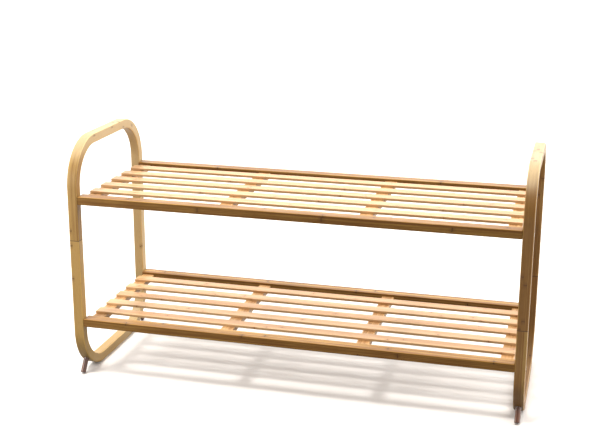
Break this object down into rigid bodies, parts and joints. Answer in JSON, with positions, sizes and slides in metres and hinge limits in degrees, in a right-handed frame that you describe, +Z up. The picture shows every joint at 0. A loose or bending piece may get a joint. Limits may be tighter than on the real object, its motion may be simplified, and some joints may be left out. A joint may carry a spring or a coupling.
{
  "type": "two-tier slatted bamboo bench",
  "caption": "Two-tier slatted bamboo bench: two rounded-rectangle side loops of bent laminated bamboo joined by rails that carry a seat shelf and a lower shoe shelf.",
  "frame": {"origin": "on the floor, under the middle of the bench", "axes": "+Z up, +X along the bench's length to the right as seen from the front, -Y towards the front"},
  "size_m": [1, 0.374, 0.5425],
  "materials": {
    "bent_bamboo": "clear satin lacquer over strip-laminated bamboo",
    "rail_bamboo": "clear satin lacquer",
    "slat_bamboo": "clear satin lacquer",
    "crossbar_bamboo": "clear satin lacquer",
    "dark_peg": "dark brown stained and glossy",
    "hidden_dowel": "plain beech, glued",
    "bolt_steel": "zinc plated",
    "screw_steel": "zinc plated"
  },
  "bodies": {
    "root": {"left_barrel_nuts": "bolt_steel", "left_loop_lower_u": "bent_bamboo", "left_loop_upper_u": "bent_bamboo", "left_rail_bolts": "bolt_steel", "left_seam_dowels": "hidden_dowel", "lower_crossbar_1": "crossbar_bamboo", "lower_crossbar_2": "crossbar_bamboo", "lower_crossbar_3": "crossbar_bamboo", "lower_crossbar_4": "crossbar_bamboo", "lower_crossbar_dowels": "hidden_dowel", "lower_front_rail": "rail_bamboo", "lower_rear_rail": "rail_bamboo", "lower_slat_1": "slat_bamboo", "lower_slat_2": "slat_bamboo", "lower_slat_3": "slat_bamboo", "lower_slat_4": "slat_bamboo", "lower_slat_5": "slat_bamboo", "lower_slat_screws": "screw_steel", "peg_front_left": "dark_peg", "peg_front_right": "dark_peg", "peg_rear_left": "dark_peg", "peg_rear_right": "dark_peg", "right_barrel_nuts": "bolt_steel", "right_loop_lower_u": "bent_bamboo", "right_loop_upper_u": "bent_bamboo", "right_rail_bolts": "bolt_steel", "right_seam_dowels": "hidden_dowel", "upper_crossbar_1": "crossbar_bamboo", "upper_crossbar_2": "crossbar_bamboo", "upper_crossbar_3": "crossbar_bamboo", "upper_crossbar_4": "crossbar_bamboo", "upper_crossbar_dowels": "hidden_dowel", "upper_front_rail": "rail_bamboo", "upper_rear_rail": "rail_bamboo", "upper_slat_1": "slat_bamboo", "upper_slat_2": "slat_bamboo", "upper_slat_3": "slat_bamboo", "upper_slat_4": "slat_bamboo", "upper_slat_5": "slat_bamboo", "upper_slat_screws": "screw_steel"}
  },
  "joints": []
}
